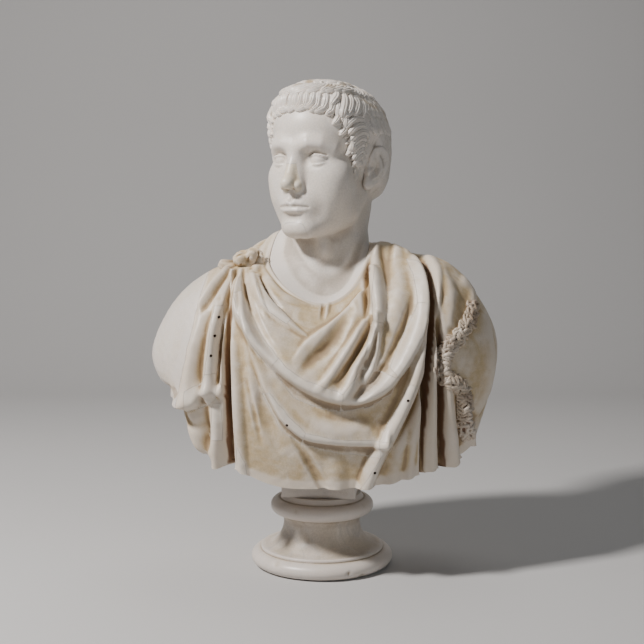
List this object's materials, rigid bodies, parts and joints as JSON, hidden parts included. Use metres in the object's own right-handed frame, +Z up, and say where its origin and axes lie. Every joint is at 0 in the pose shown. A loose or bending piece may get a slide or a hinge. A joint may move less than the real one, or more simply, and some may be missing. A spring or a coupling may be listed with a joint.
{
  "type": "marble bust",
  "caption": "Life-size draped marble portrait bust with a turned head, inset marble repairs and a hollowed back, standing on a tablet and a waisted turned socle.",
  "frame": {"origin": "centre of the socle's underside, on the surface that the bust stands on", "axes": "+Z up along the socle's dowel, the bust's front towards -Y, the sitter's right towards -X"},
  "size_m": [0.5264, 0.2846, 0.7516],
  "materials": {
    "head_marble": "honed cool white marble",
    "torso_marble": "honed cream marble with ochre stains",
    "arm_marble": "honed pale warm marble",
    "patch_marble": "honed white repair marble",
    "face_repair": "honed cream repair marble",
    "socle_marble": "honed grey-white marble",
    "iron": "dark forged iron"
  },
  "bodies": {
    "socle": {"socle": "socle_marble", "socle_dowel": "iron"},
    "bust": {"tablet": "socle_marble", "torso": "torso_marble", "shoulder_knot": "torso_marble", "head": "head_marble", "right_arm": "arm_marble", "nose_repair": "face_repair", "chin_repair": "face_repair", "roll_left": "patch_marble", "roll_centre": "patch_marble", "roll_right": "patch_marble", "roll_upper": "patch_marble", "shoulder_roll": "patch_marble", "lapel_upper": "patch_marble", "lapel_lower": "patch_marble", "swag_left": "patch_marble", "swag_bottom": "patch_marble", "swag_strip_upper": "patch_marble", "swag_strip_lower": "patch_marble", "neckline_patch": "patch_marble", "corner_patch": "patch_marble", "hanging_strip": "patch_marble", "hanging_tip_outer": "patch_marble", "hanging_tip_inner": "patch_marble", "neck_dowel": "iron", "arm_dowel": "iron", "nose_pin": "iron", "chin_pin": "iron", "knot_pin": "iron", "strip_pin_upper": "iron", "strip_pin_lower": "iron", "swag_pin": "iron", "hanging_pin_upper": "iron", "hanging_pin_middle": "iron", "hanging_pin_lower": "iron"}
  },
  "joints": [
    {"name": "turn", "type": "hinge", "parent": "socle", "child": "bust", "pos_m": [0, 0, 0.1133], "axis": [0, 0, 1], "continuous": true}
  ]
}
